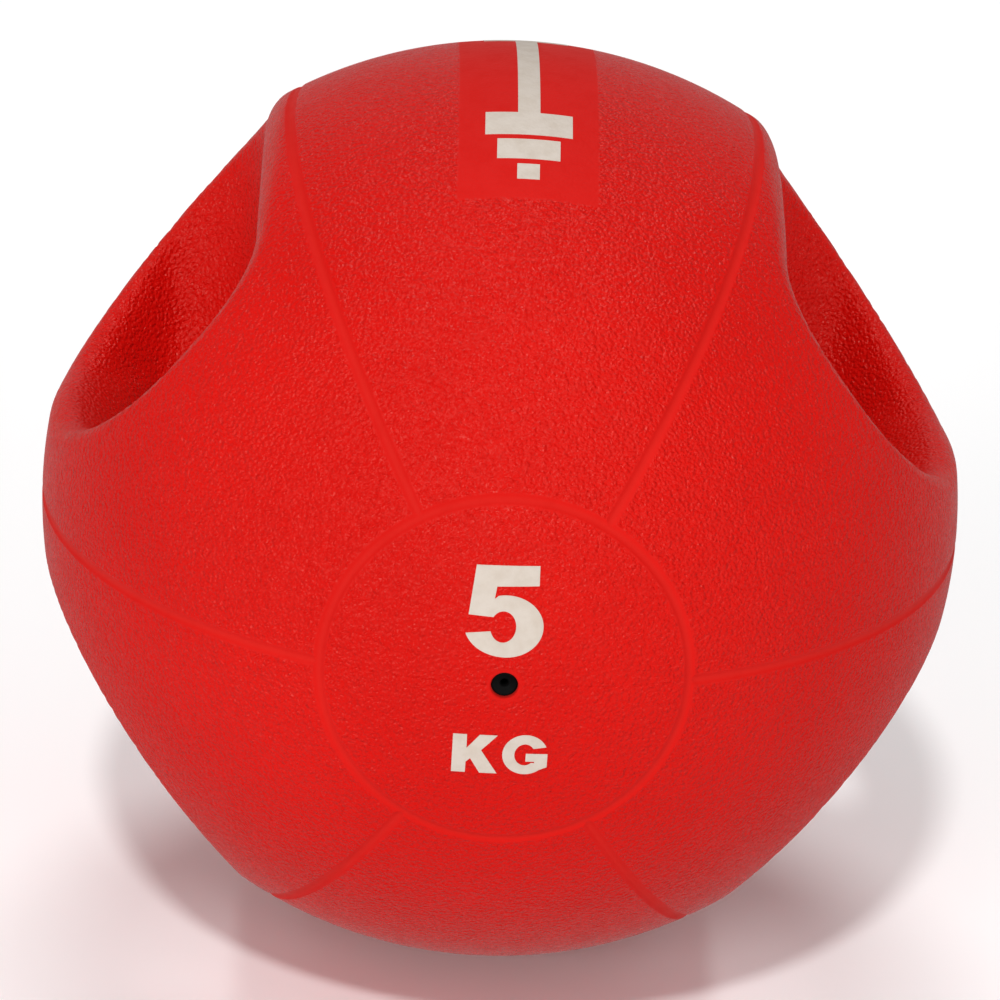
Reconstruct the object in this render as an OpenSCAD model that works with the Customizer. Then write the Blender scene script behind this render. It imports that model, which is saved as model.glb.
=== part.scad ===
// Dual-grip medicine ball: a weighted rubber ball with two finger tunnels.
// Origin at the ball's centre. +Z runs along the tunnels, X runs from grip bar
// to grip bar, and the valve faces -Y. All sizes are in millimetres.

/* [Ball] */
// Outside diameter of the ball
ball_d = 275; // [260:1:300]
// Thickness of the grained cover
cover_t = 3; // [2.5:0.25:4]
// Thickness of the weighted wall behind the cover
wall_t = 10; // [8:0.5:13]
// Thickness of the air chamber's own wall
bladder_t = 1.5; // [1:0.25:2.5]

/* [Finger tunnels] */
// Width of the solid core left between the two tunnels
core_w = 152; // [146:1:158]
// Length of a tunnel at its narrowest, measured along its grip bar
tunnel_l = 94; // [88:1:100]
// Angle at which each end wall of a tunnel opens out
flare_a = 20; // [16:1:24]
// Radius of the corners between the end walls and the core
corner_r = 30; // [22:1:34]
// Radius of the lip on the core side of a tunnel
lip_r = 8; // [6:0.5:10]

/* [Grip bars] */
// Thickness of a bar, from the ball's side inward
bar_t = 37; // [33:1:39]
// Height of a bar
bar_h = 46; // [40:1:50]
// Corner radius of a bar
bar_r = 14; // [12:0.5:16]
// Rubber between a bar's outer surface and its core rod
bar_skin_t = 8; // [6:0.5:9]

/* [Moulded lines] */
// Diameter of the round panel at each pole
panel_d = 103; // [90:1:115]
// Width of the moulded lines
line_w = 2.4; // [1.6:0.2:3]
// Number of lines that run from pole to pole
line_count = 6; // [4:2:8]

/* [Valve] */
// Diameter of the hole in the cover
valve_hole_d = 7.6; // [6:0.2:9]
// Depth of the plug below the ball's surface
plug_recess = 2; // [1:0.25:2.5]
// Diameter of the needle hole
needle_d = 2.4; // [2:0.1:2.8]
// Depth of the needle hole
needle_l = 10; // [8:0.5:12]
// Outside diameter of the seat's sleeve
seat_d = 17; // [15:0.5:20]
// Diameter of the seat's inner flange
seat_flange_d = 30; // [26:1:36]

/* [Hidden] */
$fn = 96;
ball_r = ball_d / 2;
core_x = core_w / 2;
tunnel_y = tunnel_l / 2;
line_r = line_w / 2;
panel_r = panel_d / 2;
panel_a = asin(panel_r / ball_r);
panel_y = ball_r * cos(panel_a);
wall_in = cover_t + wall_t;
bladder_in = wall_in + bladder_t;
bar_span_a = 124;
core_rod_a = 52;
overrun = 20;
edge_bite = 0.6;
bar_proud = 2;
flange_t = 2;
sleeve_tail = 1.5;
sleeve_gap = 0.3;
flange_end_in = bladder_in + flange_t;
sleeve_end_in = flange_end_in + sleeve_tail;
plug_flange_d = valve_hole_d + 4;
plug_flange_t = 1.5;
plug_end_in = sleeve_end_in + plug_flange_t;

// Space between the end walls of the tunnels, opening out up and down
module end_gap(inset) {
    reach = ball_r + overrun;
    waist = tunnel_y + inset / cos(flare_a);
    mouth = waist + reach * tan(flare_a);
    translate([-reach, 0, 0]) rotate([90, 0, 90]) linear_extrude(2 * reach)
        polygon([[waist, 0], [mouth, reach], [-mouth, reach],
                 [-waist, 0], [-mouth, -reach], [mouth, -reach]]);
}

// Outline of the rubber that fills one right-angled corner to a radius
module corner_outline(r) {
    centre = r - edge_bite / 2;
    difference() {
        translate([-edge_bite, -centre]) square(centre + edge_bite);
        translate([centre, -centre]) circle(r);
    }
}

// Rubber that rounds the corners between the end walls and the core
module corner_fill(inset) {
    waist = tunnel_y + inset / cos(flare_a);
    reach = ball_r + overrun;
    for (mx = [0, 1], my = [0, 1], mz = [0, 1])
        mirror([mx, 0, 0]) mirror([0, my, 0]) mirror([0, 0, mz]) intersection() {
            translate([core_x - inset, waist, 0]) rotate([-flare_a, 0, 0])
                translate([0, 0, -overrun]) linear_extrude(reach + 2 * overrun)
                    corner_outline(corner_r + inset);
            cube(2 * reach);
        }
}

// Core between the two tunnels, turned about the X axis
module core_slab(inset) {
    half_w = core_x - inset;
    r = ball_r - inset;
    round_r = lip_r - inset;
    corner_c = half_w - round_r;
    corner_p = sqrt(pow(r - round_r + edge_bite / 2, 2) - pow(corner_c, 2));
    rotate([0, 90, 0]) rotate_extrude() {
        translate([0, -half_w]) square([corner_p, 2 * half_w]);
        translate([0, -corner_c]) square([corner_p + round_r / 2, 2 * corner_c]);
        translate([0, -corner_c]) square([r + overrun, 2 * corner_c]);
        for (side = [-1, 1]) translate([corner_p, side * corner_c]) circle(round_r);
    }
}

// Outline of a grip bar, with its outer side a little beyond the ball
module bar_outline(inset, outer) {
    h = bar_h / 2 - inset;
    r = bar_r - inset;
    x0 = ball_r - bar_t + inset;
    square_w = outer - x0;
    translate([x0 + r, -h]) square([square_w - 2 * r, 2 * h]);
    translate([x0, r - h]) square([square_w, 2 * (h - r)]);
    for (x = [x0 + r, outer - r], z = [h - r, r - h]) translate([x, z]) circle(r);
}

// Pair of bars, turned about the Z axis
module bars(inset) {
    for (side = [0, 180]) rotate([0, 0, side - bar_span_a / 2])
        rotate_extrude(angle = bar_span_a) bar_outline(inset, ball_r + bar_proud);
}

// Ball with its two tunnels, drawn in by the inset
module grip_ball(inset) {
    difference() {
        sphere(ball_r - inset);
        difference() {
            end_gap(inset);
            core_slab(inset);
            corner_fill(inset);
            bars(inset);
        }
    }
}

// Air space: a ball cut back beside each tunnel, without the bars
module air_space(inset) {
    reach = ball_r + overrun;
    difference() {
        sphere(ball_r - inset);
        difference() {
            end_gap(inset);
            translate([inset - core_x, -reach, -reach])
                cube([2 * (core_x - inset), 2 * reach, 2 * reach]);
        }
    }
}

// Grooves: a circle round each pole, and lines from one circle to the other
module moulded_lines() {
    for (side = [-1, 1]) translate([0, side * panel_y, 0]) rotate([90, 0, 0])
        rotate_extrude() translate([panel_r, 0]) circle(line_r);
    for (i = [0 : line_count - 1]) rotate([0, i * 360 / line_count, 0])
        rotate([0, 0, panel_a - 90]) rotate_extrude(angle = 180 - 2 * panel_a)
            translate([ball_r, 0]) circle(line_r);
}

// Round bar on the valve's axis, between two depths below the ball's surface
module valve_round(d, outer_in, inner_in) {
    translate([0, outer_in - ball_r, 0]) rotate([-90, 0, 0])
        cylinder(h = inner_in - outer_in, d = d);
}

module half_space(up) {
    size = 2 * (ball_r + overrun);
    translate([-size / 2, -size / 2, up ? 0 : -size]) cube(size);
}

module cover(up) {
    color([0.78, 0.07, 0.06]) intersection() {
        difference() {
            grip_ball(0);
            grip_ball(cover_t);
            moulded_lines();
            valve_round(valve_hole_d, -overrun, wall_in);
        }
        half_space(up);
    }
}

module ballast(up) {
    color([0.2, 0.2, 0.21]) intersection() {
        difference() {
            grip_ball(cover_t);
            air_space(wall_in);
            grip_core(0);
            grip_core(180);
            valve_round(seat_d, 0, bladder_in);
        }
        half_space(up);
    }
}

module grip_core(side) {
    color([0.32, 0.3, 0.28]) rotate([0, 0, side - core_rod_a / 2])
        rotate_extrude(angle = core_rod_a) bar_outline(bar_skin_t, ball_r - bar_skin_t);
}

module bladder() {
    color([0.1, 0.1, 0.11]) difference() {
        air_space(wall_in);
        air_space(bladder_in);
        valve_round(seat_d, 0, sleeve_end_in);
        valve_round(seat_flange_d, bladder_in, flange_end_in);
    }
}

module valve_seat() {
    color([0.13, 0.13, 0.14]) difference() {
        union() {
            valve_round(seat_d, cover_t + sleeve_gap, sleeve_end_in);
            valve_round(seat_flange_d, bladder_in, flange_end_in);
        }
        valve_round(valve_hole_d, 0, sleeve_end_in + overrun);
    }
}

module valve_plug() {
    color([0.05, 0.05, 0.05]) difference() {
        union() {
            valve_round(valve_hole_d, plug_recess, plug_end_in);
            valve_round(plug_flange_d, sleeve_end_in, plug_end_in);
        }
        valve_round(needle_d, 0, plug_recess + needle_l);
    }
}

cover(true);  // cover_upper
cover(false);  // cover_lower
ballast(true);  // ballast_upper
ballast(false);  // ballast_lower
grip_core(180);  // grip_core_left
grip_core(0);  // grip_core_right
bladder();
valve_seat();
valve_plug();
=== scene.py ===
"""Dual-grip medicine ball: a grained rubber ball with a finger tunnel and a grip bar at each side.

Lengths inside this file are in millimetres in the row frame: Z runs along the finger tunnels, X
from grip bar to grip bar, and the valve faces -Y. They become metres when a mesh is made.
"""
import math

import bmesh
import bpy
import numpy as np
from mathutils import Matrix, Vector


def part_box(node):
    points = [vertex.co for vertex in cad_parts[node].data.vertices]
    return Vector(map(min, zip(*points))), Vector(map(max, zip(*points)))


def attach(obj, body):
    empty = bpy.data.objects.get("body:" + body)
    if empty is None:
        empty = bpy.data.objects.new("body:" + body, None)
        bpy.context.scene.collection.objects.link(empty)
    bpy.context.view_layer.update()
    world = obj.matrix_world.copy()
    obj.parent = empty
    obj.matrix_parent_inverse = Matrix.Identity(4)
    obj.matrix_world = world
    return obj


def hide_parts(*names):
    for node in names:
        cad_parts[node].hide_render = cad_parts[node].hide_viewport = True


MM = 0.001

# Finger tunnels and grip bars
CORE_X = 76.1  # half width of the core between the tunnels
WALL_Y = 48.0  # half length of a tunnel at mid height
WALL_SLOPE = 0.36  # how fast a tunnel's end walls open out with height
WALL_SKEW = -0.06  # the same, towards the bar
CORNER_R = 31.0  # hollow corners between core and end walls
BAR_IN = 108.0  # inner face of a bar at mid height, from the ball's vertical axis
BAR_DRAFT = 0.5  # how fast that face leans outward with height
BAR_BELLY = 8.0  # height over which the face is rounded about mid height
BAR_HALF = 23.7  # half height of a bar, at BAR_FROM from the vertical axis
BAR_FROM = 99.4
BAR_SLOPE = 0.107  # a bar gets taller towards its outer side
BAR_R = 13.0  # rounding of a bar's inner edges
BAR_ROOT_R = 15.0  # hollow where a bar's inner face meets the end walls
BAR_ROOT_MORE = 20.0  # what that hollow gains on top of the bar
BAR_ROOT_FADE = (113, 127)  # the gain grows over these distances from the vertical axis
RIM_R = 4.5  # rounding of the tunnel rims
RIM_CORE = 2.5  # what the rounding gains beside the core
RIM_CORE_X, RIM_CORE_Y = (98, 82), (62, 20)  # that gain grows from none to all over these
RIM_BAR = 3.5  # what the rounding gains towards the bars
RIM_BAR_X, RIM_BAR_Z = (90, 110), (55, 30)  # that gain grows from none to all over these

# Moulded lines on the ball
PANEL_R = 52.0  # the round panel at each pole
LINE_START = 55.5  # distance from the pole's axis at which the six lines start
LINE_W = 3.1
LINE_DEEP = 0.5
LINE_SOFT = 0.06  # rounding where a line meets the ball
LINE_REACH = 2.5  # a line ends where a rim dips this far below the ball
LINE_END = 3  # how abruptly it ends there
SEAM_W = 0.8  # the mould's parting line
SEAM_DEEP = 0.16

# Valve
HOLE_R = 3.8
HOLE_DEEP = 2.9
HOLE_EDGE_R = 0.7
COLLAR_R = 4.8  # where the hole's inner edge meets the cover's inner surface
COLLAR_DEEP = 2.3
COVER_T = 3.0

# Pieces inside the cover
FIT = 0.06  # gap between pieces that touch
WALL_T = 13.0  # from the ball's surface to the air space
BLADDER_T = 1.5
ROD_IN, ROD_OUT, ROD_HALF, ROD_R = 117.5, 130.0, 8.0, 5.0  # section of a grip core
ROD_ANGLE = math.radians(52)
SEAT_R, SEAT_FLANGE_R = 8.5, 15.0
FLANGE_END, PLUG_END = 16.5, 19.5  # depths below the ball's surface
NEEDLE_R, NEEDLE_DEEP, NEEDLE_POINT = 1.2, 12.0, 0.4
PLUG_DEEP, PLUG_GAP, PLUG_CHAMFER = 1.5, 0.04, 0.2
PLUG_FLANGE, PLUG_FLANGE_T = 2.0, 1.5  # how far the plug's flange stands out, and its thickness

# Smooth patch under the emblem: half its width and half its length
PATCH_X = 20.0
PATCH_Y = 68.0

# Prints: thin films of ink
INK_PROUD, INK_SUNK = 0.09, 0.15  # above and below the ball's surface
INK_STEP = 2.0  # size of the squares that follow the ball

# The rubber's grain, and where it fades out: distances from each detail
GRAIN = 1.2  # pebble size
GRAIN_PUSH, GRAIN_WARP = 0.5, 700  # how far the pebbles' outlines are pushed about, and how finely
GRAIN_BY_LINE = (-0.1, 0.5)
GRAIN_BY_PATCH = (-0.3, 0.5)
GRAIN_BY_HOLE = (0.5, 1.6)
GRAIN_ON_PATCH = 0.15  # share of the grain that is left on the smooth patch
WEAR_AND_SHEEN_BELOW, WEAR_AND_SHEEN_ABOVE = (-3.2, -0.4), (-0.1, -1.2)  # heights against the ball where a rim is painted paler, partly wear and partly a painted sheen

# Mesh sizes
CELL, LINING_CELL, BALLAST_CELL, BLADDER_CELL, ROD_CELL = 2.4, 4.6, 3.2, 4.0, 2.4
FINEST, LINE_FINEST, GROWTH = 0.36, 0.6, 0.6  # growth: how fast triangles get larger beside a detail
LINE_BAND, PATCH_BAND, SEAM_BAND, HOLE_BAND = 0.1, 0.3, 0.2, 0.8  # how far a detail's finest mesh goes
LINING_FINEST, LINING_COARSEST, LINING_GROWTH, COLLAR_BAND = 0.6, 4.0, 0.45, 1.0  # the inner surface
SPLIT_OVER = 1.4  # an edge is split where it is this many times longer than wanted
SPLIT_ROUNDS = 6
GRID_MARGIN = 3  # grid cells beyond the ball
SETTLE_STEPS = 4
SLOPE_STEP = 0.04  # half the distance over which a slope is measured
LEAST_SLOPE = 0.09  # smallest squared slope, so that no step gets too long
FLAT = 1e-6  # heights below this count as z = 0
FAR = 99.0  # distance that counts as nowhere near
WELD = 1e-6  # in metres: points closer than this are joined
CUT_SNAP = 1e-5  # points closer than this to a cut lie on it
TURNS = 64  # steps round the plug
UPSIDE_DOWN = (1, 1, -1)
# Edges that turn by more than these stay sharp
BALLAST_SHARP, ROD_SHARP, PLUG_SHARP, PRINT_SHARP = (math.radians(a) for a in (35, 40, 40, 50))

# Camera: angles in degrees
CAMERA_UP = 22.3
CAMERA_ROUND = -1.95
CAMERA_ROLL = 3.76
CAMERA_FAR = 12.0  # ball radii
CAMERA_SHIFT = -0.002
CAMERA_CLIP = (0.1, 100.0)  # metres
SENSOR_W = 36.0
BALL_SHARE = 0.4578  # the ball's radius as a share of the picture's width

# Floor, in metres
FLOOR_HALF = 12.0
FLOOR_GAP = 0.0002


# ---------------------------------------------------------------- shape

def smoothstep(a, b, x):
    """Rises smoothly from 0 at a to 1 at b; falls if b is below a."""
    t = np.clip((x - a) / (b - a), 0, 1)
    return t * t * (3 - 2 * t)


def round_meet(a, b, r):
    """Where both solids are, with the edge between them rounded to r."""
    u, v = np.maximum(r + a, 0), np.maximum(r + b, 0)
    return np.minimum(-r, np.maximum(a, b)) + np.sqrt(u * u + v * v)


def round_join(a, b, r):
    """Where either solid is, with the corner between them filled to r."""
    u, v = np.maximum(r - a, 0), np.maximum(r - b, 0)
    return np.maximum(r, np.minimum(a, b)) - np.sqrt(u * u + v * v)


def bar(rho, z):
    """Distance to a bar that follows the ball's curve, with leaning inner faces."""
    lean = BAR_DRAFT * (np.sqrt(z * z + BAR_BELLY ** 2) - BAR_BELLY)
    face = (BAR_IN + lean - rho) / math.hypot(1, BAR_DRAFT)
    top = (z - BAR_HALF - BAR_SLOPE * (rho - BAR_FROM)) / math.hypot(1, BAR_SLOPE)
    return round_meet(face, top, BAR_R)


def body(p):
    """Distance to the plain ball with its tunnels and bars, below zero inside."""
    x, y, z = np.abs(p[:, 0]), np.abs(p[:, 1]), np.abs(p[:, 2])
    rho = np.hypot(x, y)
    ball = np.linalg.norm(p, axis=1) - BALL_R
    wall = WALL_Y + WALL_SLOPE * z + WALL_SKEW * (x - CORE_X)
    ends = (wall - y) / math.sqrt(1 + WALL_SLOPE ** 2 + WALL_SKEW ** 2)
    kept = round_join(x - CORE_X, ends, CORNER_R)
    outer = smoothstep(*BAR_ROOT_FADE, rho)
    kept = round_join(kept, bar(rho, z), BAR_ROOT_R + BAR_ROOT_MORE * outer)
    beside_core = smoothstep(*RIM_CORE_Y, y) * smoothstep(*RIM_CORE_X, x)
    beside_bar = smoothstep(*RIM_BAR_Z, z) * smoothstep(*RIM_BAR_X, x)
    return round_meet(ball, kept, RIM_R + RIM_CORE * beside_core + RIM_BAR * beside_bar)


def line_distance(p):
    """Distance to the middle of the nearest moulded line, along the ball."""
    x, y, z = np.abs(p[:, 0]), np.abs(p[:, 1]), np.abs(p[:, 2])
    rho = np.hypot(x, z)
    panel_y = math.sqrt(BALL_R ** 2 - PANEL_R ** 2)
    start_y = math.sqrt(BALL_R ** 2 - LINE_START ** 2)
    ring = np.hypot(rho - PANEL_R, y - panel_y)
    past = np.maximum(y - start_y, 0)
    level = np.hypot(z, past)
    slanted = np.hypot(x * math.sin(math.pi / 3) - z * math.cos(math.pi / 3), past)
    near = np.minimum(np.minimum(ring, level), slanted)
    inside = np.maximum(BALL_R - np.linalg.norm(p, axis=1) - LINE_REACH, 0)
    return np.hypot(near, LINE_END * inside)


def off_axis(p):
    """Distance from the valve's axis."""
    return np.hypot(p[:, 0], p[:, 2])


def socket(p, radius, end):
    """Distance to a round space on the valve's axis that ends at a depth, below zero inside it."""
    return np.maximum(off_axis(p) - radius, p[:, 1] + BALL_R - end)


def hole(p):
    """Distance to the valve hole's empty cylinder."""
    return socket(p, HOLE_R, HOLE_DEEP)


def cover(p):
    """Distance to the cover's outer surface with its lines, seam and valve hole."""
    t = np.minimum(line_distance(p) / (LINE_W / 2), 2)
    hollow = LINE_DEEP * (1 - t * t)
    beyond = LINE_SOFT ** 2 / (12 * LINE_DEEP)  # what the rounding would leave away from the lines
    groove = (hollow + np.sqrt(hollow * hollow + LINE_SOFT ** 2)) / 2 - beyond
    seam = SEAM_DEEP * np.maximum(1 - np.abs(p[:, 2]) / (SEAM_W / 2), 0)
    return round_meet(body(p) + np.maximum(groove, seam), -hole(p), HOLE_EDGE_R)


def lining(p):
    """Distance to the cover's hidden inner surface."""
    return body(p) + COVER_T


def air(p, wall):
    """Distance to the air space, a wall's thickness inside the ball and without the bars."""
    return np.maximum(body(p) + wall, np.abs(p[:, 0]) - CORE_X + wall)


def rod(p, gap):
    """Distance to the space round both grip cores, which run along the bars."""
    rho = np.hypot(p[:, 0], p[:, 1])
    x = np.abs(rho - (ROD_IN + ROD_OUT) / 2) - (ROD_OUT - ROD_IN) / 2 + ROD_R
    z = np.abs(p[:, 2]) - ROD_HALF + ROD_R
    section = np.hypot(np.maximum(x, 0), np.maximum(z, 0)) + np.minimum(np.maximum(x, z), 0) - ROD_R
    ends = (np.abs(np.arctan2(p[:, 1], np.abs(p[:, 0]))) - ROD_ANGLE / 2) * rho
    return np.maximum(section, ends) - gap


def one_rod(side):
    """Distance function of the grip core on one side: -1 is left, 1 is right."""
    return lambda p: np.maximum(rod(p, 0), -side * p[:, 0])


def ballast(p):
    """Distance to the weighted wall: cover to air space, with room for the rods and the seat."""
    outside = np.maximum(body(p) + COVER_T + FIT, -socket(p, SEAT_R + FIT, 2 * WALL_T))
    return np.maximum(outside, -np.minimum(air(p, WALL_T), rod(p, FIT)))


def bladder_outside(p):
    """Distance to the air chamber's outer surface, drawn in round the valve's seat."""
    seat = np.minimum(socket(p, SEAT_FLANGE_R + FIT, FLANGE_END + FIT),
                      socket(p, SEAT_R + FIT, PLUG_END + FIT))
    return np.maximum(air(p, WALL_T + FIT), -seat)


def bladder_inside(p):
    """Distance to its inner surface."""
    seat = np.minimum(socket(p, SEAT_FLANGE_R + BLADDER_T, FLANGE_END + BLADDER_T),
                      socket(p, SEAT_R + BLADDER_T, PLUG_END + BLADDER_T))
    return np.maximum(air(p, WALL_T + BLADDER_T), -seat)


def patch_distance(p):
    """Distance to the smooth patch's outline on the top of the ball, below zero inside it."""
    d = np.maximum(np.abs(p[:, 0]) - PATCH_X, np.abs(p[:, 1]) - PATCH_Y)
    return np.where(p[:, 2] > 0, d, FAR)


def slope(f, p):
    """Direction in which f grows fastest, with its length."""
    g = np.empty_like(p)
    for k in range(3):
        d = np.zeros(3)
        d[k] = SLOPE_STEP
        g[:, k] = (f(p + d) - f(p - d)) / (2 * SLOPE_STEP)
    return g


def settle(f, p, flat):
    """Moves points on to f's surface; flat ones stay at z = 0."""
    for _ in range(SETTLE_STEPS):
        g = slope(f, p)
        g[flat, 2] = 0
        p = p - f(p)[:, None] * g / np.maximum((g * g).sum(1), LEAST_SLOPE)[:, None]
    p[flat, 2] = 0
    return p


# ---------------------------------------------------------------- meshing

def crossed_edges(grid, value, axis):
    """Grid edges along an axis that cross the surface: where they start, the crossings and the turns."""
    low, high = [slice(None)] * 3, [slice(None)] * 3
    low[axis], high[axis] = slice(0, -1), slice(1, None)
    start = np.argwhere((value[tuple(low)] < 0) != (value[tuple(high)] < 0))
    end = start.copy()
    end[:, axis] += 1
    a, b = grid[tuple(start.T)], grid[tuple(end.T)]
    fa, fb = value[tuple(start.T)], value[tuple(end.T)]
    return start, a + (b - a) * (fa / (fa - fb))[:, None], (fa < 0) ^ (axis == 1)


def cells_around(start, axis):
    """The four cells that share each grid edge, in order round it."""
    u, v = [k for k in range(3) if k != axis]
    around = []
    for du, dv in ((0, 0), (1, 0), (1, 1), (0, 1)):
        c = start.copy()
        c[:, u] -= du
        c[:, v] -= dv
        around.append(c)
    return around


def in_grid(c, cells):
    return ((c >= 0) & (c < cells)).all(1)


def quads_across(index, around, turned):
    """One quad across each crossed edge that has all its four cells."""
    ok = np.all([in_grid(c, index.shape) for c in around], axis=0)
    quads = np.stack([index[tuple(c[ok].T)] for c in around], 1)
    return np.where(turned[ok][:, None], quads[:, ::-1], quads)


def half_net(f, cell):
    """Mesh of f's surface above z = 0, with a clean edge in that plane: points and triangles."""
    n = int(BALL_R / cell) + GRID_MARGIN
    across = np.arange(-n, n + 1) * cell
    up = (np.arange(0, n + 2) - 0.5) * cell
    grid = np.stack(np.meshgrid(across, across, up, indexing="ij"), -1)
    value = f(grid.reshape(-1, 3)).reshape(grid.shape[:3])
    cells = np.array(value.shape) - 1
    total, count = np.zeros((*cells, 3)), np.zeros(cells, int)
    crossed = []
    for axis in range(3):
        start, at, turned = crossed_edges(grid, value, axis)
        around = cells_around(start, axis)
        crossed.append((around, turned))
        for c in around:
            ok = in_grid(c, cells)
            np.add.at(total, tuple(c[ok].T), at[ok])
            np.add.at(count, tuple(c[ok].T), 1)
    used = count > 0
    index = np.full(cells, -1)
    index[used] = np.arange(used.sum())
    points = total[used] / count[used][:, None]
    points[np.abs(points[:, 2]) < FLAT, 2] = 0
    quads = np.concatenate([quads_across(index, *one) for one in crossed])
    tris = np.concatenate([quads[:, [0, 1, 2]], quads[:, [0, 2, 3]]])
    return settle(f, points, points[:, 2] == 0), outward(f, points, tris)


def outward(f, points, tris):
    """Triangles turned so that their normals point out of the solid."""
    a, b, c = (points[tris[:, k]] for k in range(3))
    normal = np.cross(b - a, c - a)
    wrong = (normal * slope(f, (a + b + c) / 3)).sum(1) < 0
    tris[wrong] = tris[wrong][:, ::-1]
    return tris


def split_long(points, tris, wanted):
    """Splits every edge that is longer than wanted says, keeping the mesh whole."""
    e = np.sort(tris[:, [0, 1, 1, 2, 2, 0]].reshape(-1, 2), axis=1)
    edges, where = np.unique(e, axis=0, return_inverse=True)
    a, b = points[edges[:, 0]], points[edges[:, 1]]
    middle = (a + b) / 2
    long = np.linalg.norm(b - a, axis=1) > SPLIT_OVER * wanted(middle)
    number = np.full(len(edges), -1)
    number[long] = len(points) + np.arange(long.sum())
    mid = number[where.reshape(-1)].reshape(-1, 3)
    cut = mid >= 0
    kinds = cut.sum(1)
    turn = np.where(kinds == 1, np.argmax(cut, 1), np.where(kinds == 2, (np.argmin(cut, 1) + 1) % 3, 0))
    order = (turn[:, None] + np.arange(3)) % 3
    t = np.take_along_axis(tris, order, 1)
    m = np.take_along_axis(mid, order, 1)
    out = [t[kinds == 0]]
    one, two, three = (kinds == k for k in (1, 2, 3))
    out += [np.stack(c, 1) for c in (
        (t[one, 0], m[one, 0], t[one, 2]), (m[one, 0], t[one, 1], t[one, 2]),
        (m[two, 0], t[two, 1], m[two, 1]), (t[two, 0], m[two, 0], m[two, 1]),
        (t[two, 0], m[two, 1], t[two, 2]),
        (t[three, 0], m[three, 0], m[three, 2]), (m[three, 0], t[three, 1], m[three, 1]),
        (m[three, 2], m[three, 1], t[three, 2]), (m[three, 0], m[three, 1], m[three, 2]))]
    return np.concatenate([points, middle[long]]), np.concatenate(out), long.sum()


def wanted_size(p):
    """How fine the cover's mesh has to be at each point."""
    line = line_distance(p) - LINE_W / 2 - LINE_BAND
    patch = np.abs(patch_distance(p)) - PATCH_BAND
    seam = np.abs(p[:, 2]) - SEAM_BAND
    eye = np.where(p[:, 1] < 0, np.abs(off_axis(p) - HOLE_R) - HOLE_BAND, FAR)
    coarse = LINE_FINEST + GROWTH * np.maximum(np.minimum(line, patch), 0)
    fine = FINEST + GROWTH * np.maximum(np.minimum(seam, eye), 0)
    return np.minimum(np.minimum(coarse, fine), CELL)


def valve_size(p):
    """How fine the cover's inner surface has to be: fine round the valve hole only."""
    near = np.where(p[:, 1] < 0, np.abs(off_axis(p) - COLLAR_R) - COLLAR_BAND, FAR)
    return np.minimum(LINING_FINEST + LINING_GROWTH * np.maximum(near, 0), LINING_COARSEST)


def fine_net(f, cell, wanted):
    """Upper half of f's surface, made finer where wanted says so."""
    points, tris = half_net(f, cell)
    for _ in range(SPLIT_ROUNDS):
        old = len(points)
        points, tris, added = split_long(points, tris, wanted)
        if not added:
            break
        flat = np.abs(points[:, 2]) < FLAT
        fresh = settle(f, points[old:].copy(), flat[old:])
        points = np.concatenate([points[:old], fresh])
    return points, tris


def free_edges(tris):
    """Edges that belong to one triangle only."""
    e = tris[:, [0, 1, 1, 2, 2, 0]].reshape(-1, 2)
    _, first, count = np.unique(np.sort(e, axis=1), axis=0, return_index=True, return_counts=True)
    return e[first[count == 1]]


def fill(points, edges, normal):
    """Triangles that fill the region between the edges' loops, turned towards normal."""
    bm = bmesh.new()
    made = {i: bm.verts.new(points[i]) for i in np.unique(edges)}
    back = {v: i for i, v in made.items()}
    for a, b in edges:
        bm.edges.new((made[a], made[b]))
    bmesh.ops.triangle_fill(bm, edges=bm.edges[:], use_beauty=False, normal=normal)
    tris = np.array([[back[v] for v in f.verts] for f in bm.faces if len(f.verts) == 3])
    bm.free()
    a, b, c = (points[tris[:, k]] for k in range(3))
    wrong = np.cross(b - a, c - a) @ np.array(normal) < 0
    tris[wrong] = tris[wrong][:, ::-1]
    return tris


def middles(points, tris):
    return points[tris].mean(1)


def collar(points, edges, skin_count):
    """Triangles from the hole's inner edge to the cover's inner surface, and the edges that they leave."""
    ring = (points[edges][:, :, 2] > FLAT).any(1)
    ends = np.unique(edges[ring])
    ends = ends[points[ends][:, 2] < FLAT]
    links = []
    for side in (-1, 1):
        here = ends[points[ends][:, 0] * side > 0]
        links.append((here[here < skin_count][0], here[here >= skin_count][0]))
    tris = fill(points, np.concatenate([edges[ring], links]), (0, 1, 0))
    return tris, np.concatenate([edges[~ring], links])


def used_only(points, tris):
    """The same mesh without points that no triangle uses."""
    keep, where = np.unique(tris.reshape(-1), return_inverse=True)
    return points[keep], where.reshape(-1, 3)


def flat_normals(points, tris):
    """A normal for each corner, the same for a triangle's three."""
    a, b, c = (points[tris[:, k]] for k in range(3))
    n = np.cross(b - a, c - a)
    return np.repeat(n / np.linalg.norm(n, axis=1)[:, None], 3, axis=0)


def by_valve(p):
    """Which points are near the valve's axis, at the front."""
    return (off_axis(p) < COLLAR_R) & (p[:, 1] < 0)


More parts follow.
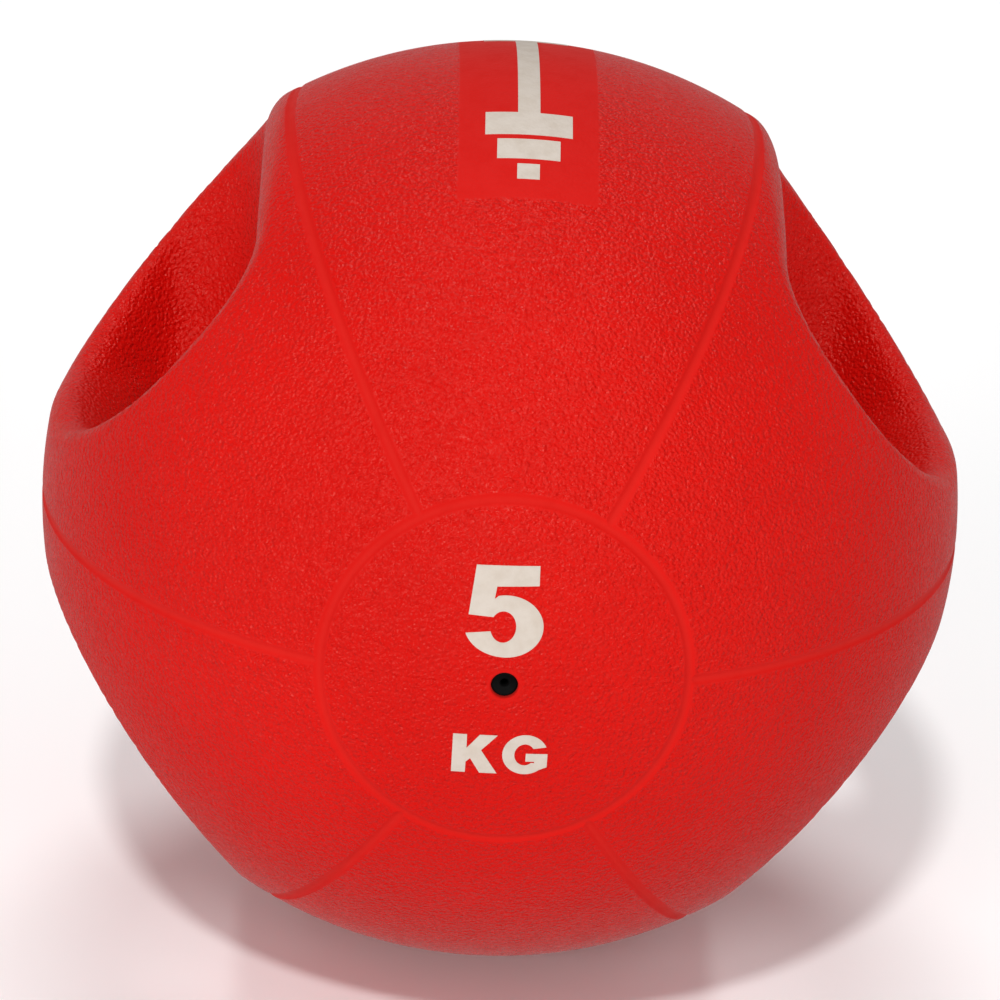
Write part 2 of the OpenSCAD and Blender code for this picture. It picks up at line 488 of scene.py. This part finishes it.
def cover_half():
    """Closed shell of the upper half cover: points, triangles and a normal for each corner."""
    skin, skin_tris = fine_net(cover, CELL, wanted_size)
    inner, inner_tris = fine_net(lining, LINING_CELL, valve_size)
    m = middles(skin, skin_tris)
    well = by_valve(m) & (m[:, 1] + BALL_R > COLLAR_DEEP)
    under = by_valve(middles(inner, inner_tris))
    points = np.concatenate([skin, inner])
    sides = np.concatenate([skin_tris[~well], inner_tris[~under][:, ::-1] + len(skin)])
    edge, rest = collar(points, free_edges(sides), len(skin))
    cap = fill(points, rest, (0, 0, -1))
    normals = np.concatenate([slope(cover, skin), -slope(lining, inner)])
    normals /= np.linalg.norm(normals, axis=1)[:, None]
    corner = np.concatenate([normals[sides.reshape(-1)], flat_normals(points, edge),
                             np.tile([0.0, 0.0, -1.0], (len(cap) * 3, 1))])
    points, tris = used_only(points, np.concatenate([sides, edge, cap]))
    return points, tris, corner


def mirrored(points, tris):
    return points * UPSIDE_DOWN, tris[:, ::-1]


# ---------------------------------------------------------------- objects

def put(name, data):
    """Object in the scene that shows data."""
    ob = bpy.data.objects.new(name, data)
    bpy.context.scene.collection.objects.link(ob)
    return ob


def smooth(mesh):
    mesh.polygons.foreach_set("use_smooth", np.ones(len(mesh.polygons), bool))


def weld(mesh, turn_outward=False):
    """Joins points that lie on each other, and turns all faces outward if asked."""
    bm = bmesh.new()
    bm.from_mesh(mesh)
    bmesh.ops.remove_doubles(bm, verts=bm.verts[:], dist=WELD)
    if turn_outward:
        bmesh.ops.recalc_face_normals(bm, faces=bm.faces[:])
    bm.to_mesh(mesh)
    bm.free()


def mesh_object(name, points, tris, corner_normals=None):
    """Smoothly shaded mesh from points in millimetres, with its own corner normals if given."""
    mesh = bpy.data.meshes.new(name)
    mesh.vertices.add(len(points))
    mesh.vertices.foreach_set("co", (points * MM).astype(np.float32).reshape(-1))
    mesh.loops.add(len(tris) * 3)
    mesh.loops.foreach_set("vertex_index", tris.astype(np.int32).reshape(-1))
    mesh.polygons.add(len(tris))
    mesh.polygons.foreach_set("loop_start", np.arange(0, len(tris) * 3, 3, dtype=np.int32))
    mesh.update(calc_edges=True)
    mesh.validate()
    smooth(mesh)
    if corner_normals is not None and len(mesh.loops) == len(corner_normals):
        mesh.normals_split_custom_set(corner_normals.tolist())
    return put(name, mesh)


def paint_masks(ob, points):
    """Vertex values that the rubber's material reads: where the grain is, and where the rims are."""
    line = smoothstep(*GRAIN_BY_LINE, line_distance(points) - LINE_W / 2)
    patch = GRAIN_ON_PATCH + (1 - GRAIN_ON_PATCH) * smoothstep(*GRAIN_BY_PATCH, patch_distance(points))
    eye = smoothstep(*GRAIN_BY_HOLE, np.abs(hole(points)))
    ball = np.linalg.norm(points, axis=1) - BALL_R
    # rim: where the rims are painted paler, partly wear and partly a painted sheen
    rim = smoothstep(*WEAR_AND_SHEEN_BELOW, ball) * smoothstep(*WEAR_AND_SHEEN_ABOVE, ball)
    for name, value in (("grain", line * patch * eye), ("rim", rim)):
        layer = ob.data.attributes.new(name, "FLOAT", "POINT")
        layer.data.foreach_set("value", value.astype(np.float32))


def cover_pieces(material):
    points, tris, corner = cover_half()
    turned_corner = (corner * UPSIDE_DOWN).reshape(-1, 3, 3)[:, ::-1].reshape(-1, 3)
    halves = (("upper", points, tris, corner), ("lower", *mirrored(points, tris), turned_corner))
    for name, half_points, half_tris, normals in halves:
        ob = mesh_object("cover_" + name + "_rubber", half_points, half_tris, normals)
        paint_masks(ob, half_points)
        ob.data.materials.append(material)
        stand_for(ob, "cover_" + name)


def stand_for(ob, node):
    """Piece that rides on the only body and takes a CAD node's place."""
    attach(ob, "root")
    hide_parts(node)


def ballast_pieces(material):
    points, tris = half_net(ballast, BALLAST_CELL)
    tris = np.concatenate([tris, fill(points, free_edges(tris), (0, 0, -1))])
    for name, half in (("upper", (points, tris)), ("lower", mirrored(points, tris))):
        ob = mesh_object("ballast_" + name + "_shell", *half)
        ob.data.set_sharp_from_angle(angle=BALLAST_SHARP)
        ob.data.materials.append(material)
        stand_for(ob, "ballast_" + name)


def closed_shell(name, surfaces, cell):
    """Closed mesh from surfaces alike above and below z = 0: (field, whether it faces inward)."""
    parts, start = [], 0
    for f, turned in surfaces:
        points, tris = half_net(f, cell)
        for p, t in ((points, tris), mirrored(points, tris)):
            parts.append((p, (t[:, ::-1] if turned else t) + start))
            start += len(p)
    ob = mesh_object(name, *(np.concatenate(c) for c in zip(*parts)))
    weld(ob.data)
    return ob


def bladder_piece(material):
    ob = closed_shell("bladder_shell", ((bladder_outside, False), (bladder_inside, True)), BLADDER_CELL)
    ob.data.materials.append(material)
    stand_for(ob, "bladder")


def rod_pieces(material):
    for name, side in (("left", -1), ("right", 1)):
        ob = closed_shell("grip_core_" + name + "_rod", ((one_rod(side), False),), ROD_CELL)
        ob.data.set_sharp_from_angle(angle=ROD_SHARP)
        ob.data.materials.append(material)
        stand_for(ob, "grip_core_" + name)


def lathe(name, profile):
    """Closed solid turned about the valve's axis: profile holds (radius, depth below the ball)."""
    points, faces = [], []
    for k in range(TURNS):
        a = 2 * math.pi * k / TURNS
        for r, deep in profile:
            points.append((r * math.cos(a) * MM, (deep - BALL_R) * MM, r * math.sin(a) * MM))
    n = len(profile)
    for k in range(TURNS):
        for i in range(n - 1):
            a, b = k * n + i, ((k + 1) % TURNS) * n + i
            faces.append((a, a + 1, b + 1, b))
    mesh = bpy.data.meshes.new(name)
    mesh.from_pydata(points, [], faces)
    weld(mesh, turn_outward=True)
    smooth(mesh)
    mesh.set_sharp_from_angle(angle=PLUG_SHARP)
    return put(name, mesh)


def valve_plug(material):
    """Self-sealing plug with a dished face, a needle hole and a flange at its inner end."""
    r, tail = HOLE_R - PLUG_GAP, PLUG_END - PLUG_FLANGE_T
    flange, chamfered = r + PLUG_FLANGE, r + PLUG_FLANGE - PLUG_CHAMFER
    dish = [(NEEDLE_R, 0.95), (NEEDLE_R + 0.12, 0.78), (NEEDLE_R + 0.4, 0.66), (2.3, 0.42),
            (2.9, 0.12), (3.3, 0.0), (r - 0.16, 0.12), (r, 0.5)]
    profile = ([(0.0, NEEDLE_DEEP + NEEDLE_POINT), (NEEDLE_R, NEEDLE_DEEP)]
               + [(x, PLUG_DEEP + deep) for x, deep in dish]
               + [(r, tail), (chamfered, tail), (flange, tail + PLUG_CHAMFER),
                  (flange, PLUG_END - PLUG_CHAMFER), (chamfered, PLUG_END), (0.0, PLUG_END)])
    ob = lathe("valve_plug_rubber", profile)
    ob.data.materials.append(material)
    stand_for(ob, "valve_plug")


# ---------------------------------------------------------------- prints
# Outlines hold X and Z for the figure and letters, seen from the front, and X and Y for the emblem.

def arc(cx, cy, rx, ry, start, end, n):
    """Points along part of an ellipse, angles in degrees."""
    a = np.radians(np.linspace(start, end, n))
    return [(cx + rx * math.cos(t), cy + ry * math.sin(t)) for t in a]


def figure_five():
    return ([(-9.7, 34.3), (7.9, 34.8), (8.0, 29.3), (-3.7, 28.7), (-4.2, 25.2)]
            + arc(-0.6, 17.5, 10.4, 8.9, 104, -90, 40) + arc(-0.6, 17.5, 11.6, 8.9, -94, -164, 16)
            + arc(-1.4, 17.4, 3.6, 4.5, -162, 143, 36) + [(-11.2, 20.4)])


def letter_k():
    return [(-13.4, -15.9), (-9.5, -15.8), (-9.4, -20.3), (-5.9, -15.7), (-0.9, -15.6),
            (-5.3, -20.7), (-0.5, -28.2), (-5.4, -28.3), (-8.2, -23.6), (-9.4, -24.9),
            (-9.4, -28.4), (-13.3, -28.5)]


def letter_g():
    return (arc(7.1, -21.6, 6.4, 6.5, 24, 310, 48)
            + [(13.4, -25.6), (13.4, -21.2), (7.3, -21.2), (7.3, -23.8), (9.8, -23.8), (9.8, -24.3)]
            + arc(7.0, -21.6, 2.9, 3.5, -48, -324, 36))


def box_outline(half_x, y0, y1):
    return [(-half_x, y0), (half_x, y0), (half_x, y1), (-half_x, y1)]


def emblem():
    """Plain dumbbell: a handle with two plates and a stub at each end."""
    parts = [box_outline(3.2, -33.5, 33.5)]
    for half_x, near, far in ((12.5, 33.5, 44.0), (9.0, 46.0, 54.0), (3.2, 56.0, 61.5)):
        parts += [box_outline(half_x, near, far), box_outline(half_x, -far, -near)]
    return parts


def on_front(x, y, r):
    return (x, -math.sqrt(r * r - x * x - y * y), y)


def on_top(x, y, r):
    return (x, y, math.sqrt(r * r - x * x - y * y))


def cut_across(bm, span):
    """Cuts flat faces into squares, so that they can follow the ball."""
    for axis in (0, 1):
        for at in np.arange(span[:, axis].min() + INK_STEP / 2, span[:, axis].max(), INK_STEP):
            where, normal = [0, 0, 0], [0, 0, 0]
            where[axis], normal[axis] = at, 1
            bmesh.ops.bisect_plane(bm, geom=bm.verts[:] + bm.edges[:] + bm.faces[:], dist=CUT_SNAP,
                                   plane_co=where, plane_no=normal)
    bmesh.ops.triangulate(bm, faces=bm.faces[:])


def film(outline, place):
    """One thin closed film inside an outline, laid on the ball's surface."""
    bm = bmesh.new()
    bm.faces.new([bm.verts.new((x, y, 0)) for x, y in outline])
    cut_across(bm, np.array(outline))
    upper = bm.verts[:]
    made = bmesh.ops.extrude_face_region(bm, geom=bm.faces[:])["geom"]
    lower = [g for g in made if isinstance(g, bmesh.types.BMVert)]
    for verts, radius in ((upper, BALL_R + INK_PROUD), (lower, BALL_R - INK_SUNK)):
        for v in verts:
            v.co = Vector(place(v.co.x, v.co.y, radius)) * MM
    bmesh.ops.recalc_face_normals(bm, faces=bm.faces[:])
    if bm.calc_volume(signed=True) < 0:
        bmesh.ops.reverse_faces(bm, faces=bm.faces[:])
    return bm


def print_film(name, outlines, place, material):
    """Ink on the ball: one film for each outline, joined in one piece."""
    whole = bmesh.new()
    for outline in outlines:
        part = film(outline, place)
        one = bpy.data.meshes.new(name)
        part.to_mesh(one)
        whole.from_mesh(one)
        part.free()
        bpy.data.meshes.remove(one)
    mesh = bpy.data.meshes.new(name)
    whole.to_mesh(mesh)
    whole.free()
    smooth(mesh)
    mesh.set_sharp_from_angle(angle=PRINT_SHARP)
    mesh.materials.append(material)
    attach(put(name, mesh), "root")


def prints(material):
    print_film("print_five", [figure_five()], on_front, material)
    print_film("print_k", [letter_k()], on_front, material)
    print_film("print_g", [letter_g()], on_front, material)
    print_film("print_emblem", emblem(), on_top, material)


# ---------------------------------------------------------------- materials

class Nodes:
    """Small helper that adds and links shader nodes."""

    def __init__(self, name):
        self.material = bpy.data.materials.new(name)
        self.material.use_nodes = True
        self.tree = self.material.node_tree
        self.shader = self.tree.nodes["Principled BSDF"]
        self.place = self.add("ShaderNodeTexCoord").outputs["Object"]

    def add(self, kind, **settings):
        node = self.tree.nodes.new(kind)
        for key, value in settings.items():
            setattr(node, key, value)
        return node

    def link(self, a, b):
        self.tree.links.new(a, b)

    def give(self, value, socket):
        """Sets an input to a number or a colour, or links it to another node's output."""
        if isinstance(value, tuple):
            socket.default_value = (*value, 1.0)
        elif isinstance(value, (int, float)):
            socket.default_value = value
        else:
            self.link(value, socket)

    def set(self, **values):
        for key, value in values.items():
            self.give(value, self.shader.inputs[key.replace("_", " ")])

    def noise(self, scale, detail, rough=0.55):
        node = self.add("ShaderNodeTexNoise")
        self.link(self.place, node.inputs["Vector"])
        for key, value in (("Scale", scale), ("Detail", detail), ("Roughness", rough)):
            node.inputs[key].default_value = value
        return node.outputs["Fac"]

    def math(self, kind, a, b):
        node = self.add("ShaderNodeMath", operation=kind)
        self.give(a, node.inputs[0])
        self.give(b, node.inputs[1])
        return node.outputs[0]

    def ramp(self, value, low, high, out_low=0.0, out_high=1.0):
        node = self.add("ShaderNodeMapRange", interpolation_type="SMOOTHSTEP")
        self.link(value, node.inputs["Value"])
        for key, v in (("From Min", low), ("From Max", high), ("To Min", out_low), ("To Max", out_high)):
            node.inputs[key].default_value = v
        return node.outputs["Result"]

    def blend(self, factor, a, b):
        node = self.add("ShaderNodeMix", data_type="RGBA")
        self.link(factor, node.inputs["Factor"])
        for key, v in (("A", a), ("B", b)):
            self.give(v, [s for s in node.inputs if s.name == key and s.type == "RGBA"][0])
        return [s for s in node.outputs if s.type == "RGBA"][0]

    def bump(self, height, distance, strength, normal=None):
        node = self.add("ShaderNodeBump")
        node.inputs["Distance"].default_value = distance
        self.give(strength, node.inputs["Strength"])
        self.link(height, node.inputs["Height"])
        if normal is not None:
            self.link(normal, node.inputs["Normal"])
        return node.outputs["Normal"]

    def attribute(self, name):
        return self.add("ShaderNodeAttribute", attribute_name=name).outputs["Fac"]

    def finish(self, color, rough, normal):
        self.link(color, self.shader.inputs["Base Color"])
        self.link(rough, self.shader.inputs["Roughness"])
        if normal is not None:
            self.link(normal, self.shader.inputs["Normal"])
        return self.material


def pebbles(n):
    """Height of a leather-like grain: small uneven pebbles with creases between them."""
    per_metre = 1 / (GRAIN * MM)
    warp = n.add("ShaderNodeTexNoise")
    n.link(n.place, warp.inputs["Vector"])
    warp.inputs["Scale"].default_value = GRAIN_WARP
    warp.inputs["Detail"].default_value = 1
    push = n.add("ShaderNodeVectorMath", operation="MULTIPLY_ADD")
    n.link(warp.outputs["Color"], push.inputs[0])
    push.inputs[1].default_value = [GRAIN_PUSH * MM] * 3
    n.link(n.place, push.inputs[2])
    cells = n.add("ShaderNodeTexVoronoi", feature="F1")
    n.link(push.outputs[0], cells.inputs["Vector"])
    cells.inputs["Scale"].default_value = per_metre
    worms = n.math("MULTIPLY", n.noise(per_metre / 0.8, 0.8, 0.5), 0.7)
    return n.math("SUBTRACT", worms, n.math("MULTIPLY", cells.outputs["Distance"], 0.55))


def red_rubber():
    """Grained red rubber: paler on the rims, partly from wear and partly a painted sheen, duller where it
    has no grain.
    """
    deep, bright = (0.525, 0.0030, 0.0018), (0.575, 0.0042, 0.0025)
    # the second colour here is the rims' paler brown: partly wear, partly a painted sheen such as grazing
    # light gives
    dull, worn_and_sheen = (0.47, 0.0035, 0.002), (0.42, 0.05, 0.035)
    n = Nodes("red_rubber")
    grain, rim = n.attribute("grain"), n.attribute("rim")
    broad = n.ramp(n.noise(9, 3), 0.3, 0.7)
    spots = n.ramp(n.noise(160, 5, 0.65), 0.35, 0.75)
    color = n.blend(n.math("MULTIPLY", spots, 0.25), n.blend(broad, deep, bright), dull)
    # rims turn paler: partly wear, partly a painted sheen
    color = n.blend(n.math("MULTIPLY", rim, 0.25), color, worn_and_sheen)
    normal = n.bump(pebbles(n), 0.8 * MM, grain)
    normal = n.bump(n.noise(2600, 2), 0.03 * MM, 0.5, normal)
    rough = n.math("ADD", n.ramp(spots, 0.0, 1.0, 0.25, 0.33), n.ramp(grain, 0.0, 1.0, 0.4, 0.0))
    n.set(Sheen_Weight=0.03, Sheen_Roughness=0.35, Sheen_Tint=(1.0, 0.7, 0.55),
          Specular_IOR_Level=0.13, Specular_Tint=(1.0, 0.86, 0.72), IOR=1.5)
    return n.finish(color, rough, normal)


def ink():
    """Cream ink that follows the rubber's grain a little."""
    light, dark = (0.54, 0.475, 0.415), (0.49, 0.42, 0.355)
    n = Nodes("print_ink")
    spots = n.ramp(n.noise(240, 4), 0.3, 0.8)
    normal = n.bump(pebbles(n), 0.4 * MM, 0.25)
    n.set(Specular_IOR_Level=0.2)
    return n.finish(n.blend(spots, light, dark), n.ramp(spots, 0.0, 1.0, 0.5, 0.6), normal)


def plain_rubber(name, dark, light, rough, shine=0.5):
    n = Nodes(name)
    spots = n.ramp(n.noise(90, 5), 0.3, 0.7)
    normal = n.bump(n.noise(900, 4), 0.12 * MM, 0.5)
    n.set(Specular_IOR_Level=shine)
    return n.finish(n.blend(spots, dark, light), n.ramp(spots, 0.0, 1.0, rough, rough + 0.15), normal)


def seat_material(seat, material):
    """Material for the CAD node that is kept as it is, inside the cover."""
    seat.data.materials.clear()
    seat.data.materials.append(material)


# ---------------------------------------------------------------- stage

def camera():
    a, e = math.radians(CAMERA_ROUND), math.radians(CAMERA_UP)
    back = Vector((math.sin(a) * math.cos(e), -math.cos(a) * math.cos(e), math.sin(e)))
    roll = Matrix.Rotation(math.radians(CAMERA_ROLL), 4, "Z")
    turn = (-back).to_track_quat("-Z", "Y").to_matrix().to_4x4() @ roll
    data = bpy.data.cameras.new("camera")
    data.sensor_width = SENSOR_W
    data.lens = SENSOR_W * BALL_SHARE / math.tan(math.asin(1 / CAMERA_FAR))
    data.shift_y = CAMERA_SHIFT
    data.clip_start, data.clip_end = CAMERA_CLIP
    ob = put("camera", data)
    ob.matrix_world = Matrix.Translation(back * CAMERA_FAR * BALL_R * MM) @ turn
    bpy.context.scene.camera = ob


def sun(name, where, strength, spread):
    """Large distant light: where points from the ball to it, spread is its size in degrees."""
    data = bpy.data.lights.new(name, "SUN")
    data.energy, data.angle = strength, math.radians(spread)
    put(name, data).rotation_euler = (-Vector(where)).to_track_quat("-Z", "Y").to_euler()


def floor_material():
    n = Nodes("floor")
    shade = n.ramp(n.noise(2.0, 2), 0.2, 0.8)
    color = n.blend(shade, (0.98, 0.98, 0.98), (0.97, 0.97, 0.97))
    return n.finish(color, n.ramp(shade, 0.0, 1.0, 0.8, 0.9), None)


def white_floor():
    """Floor just under the ball, left out of reflections."""
    low = -BALL_R * MM - FLOOR_GAP
    sides = ((-1, -1), (1, -1), (1, 1), (-1, 1))
    mesh = bpy.data.meshes.new("floor")
    mesh.from_pydata([(x * FLOOR_HALF, y * FLOOR_HALF, low) for x, y in sides], [], [(0, 1, 2, 3)])
    mesh.materials.append(floor_material())
    floor = put("floor", mesh)
    floor.visible_glossy = False


def lights():
    """Low suns at both sides leave the tunnels dark; a small one above the camera picks out the grain."""
    sun("left", (-0.6, -0.8, 0.2), 1.3, 25)
    sun("right", (0.6, -0.8, 0.2), 0.75, 25)
    sun("top", (0, 0.35, 0.94), 0.95, 25)
    sun("key", (-0.1, -0.6, 0.78), 1.25, 5)
    world = bpy.data.worlds.new("studio")
    world.use_nodes = True
    background = world.node_tree.nodes["Background"]
    background.inputs["Color"].default_value = (1.0, 1.0, 1.0, 1.0)
    background.inputs["Strength"].default_value = 0.35
    scene = bpy.context.scene
    scene.world = world
    scene.view_settings.view_transform = "Standard"


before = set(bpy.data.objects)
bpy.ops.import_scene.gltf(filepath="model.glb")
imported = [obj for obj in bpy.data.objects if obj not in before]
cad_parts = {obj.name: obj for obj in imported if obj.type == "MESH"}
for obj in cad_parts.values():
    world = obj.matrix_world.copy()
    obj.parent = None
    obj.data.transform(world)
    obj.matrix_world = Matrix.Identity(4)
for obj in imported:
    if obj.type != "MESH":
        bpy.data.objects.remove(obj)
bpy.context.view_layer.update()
cad_low, cad_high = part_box("cover_upper")
BALL_R = round((cad_high.x - cad_low.x) / 2 / MM, 2)

heavy_rubber = plain_rubber("ballast_rubber", (0.035, 0.035, 0.038), (0.06, 0.06, 0.064), 0.7)
rod_rubber = plain_rubber("core_rubber", (0.08, 0.072, 0.066), (0.12, 0.108, 0.1), 0.65)
butyl = plain_rubber("butyl", (0.015, 0.015, 0.017), (0.03, 0.03, 0.033), 0.45)
black_rubber = plain_rubber("plug_rubber", (0.0025, 0.0025, 0.0025), (0.005, 0.005, 0.005), 0.55, 0.04)

cover_pieces(red_rubber())
ballast_pieces(heavy_rubber)
bladder_piece(butyl)
valve_plug(black_rubber)
prints(ink())
rod_pieces(rod_rubber)
seat_material(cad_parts["valve_seat"], butyl)
white_floor()
lights()
camera()
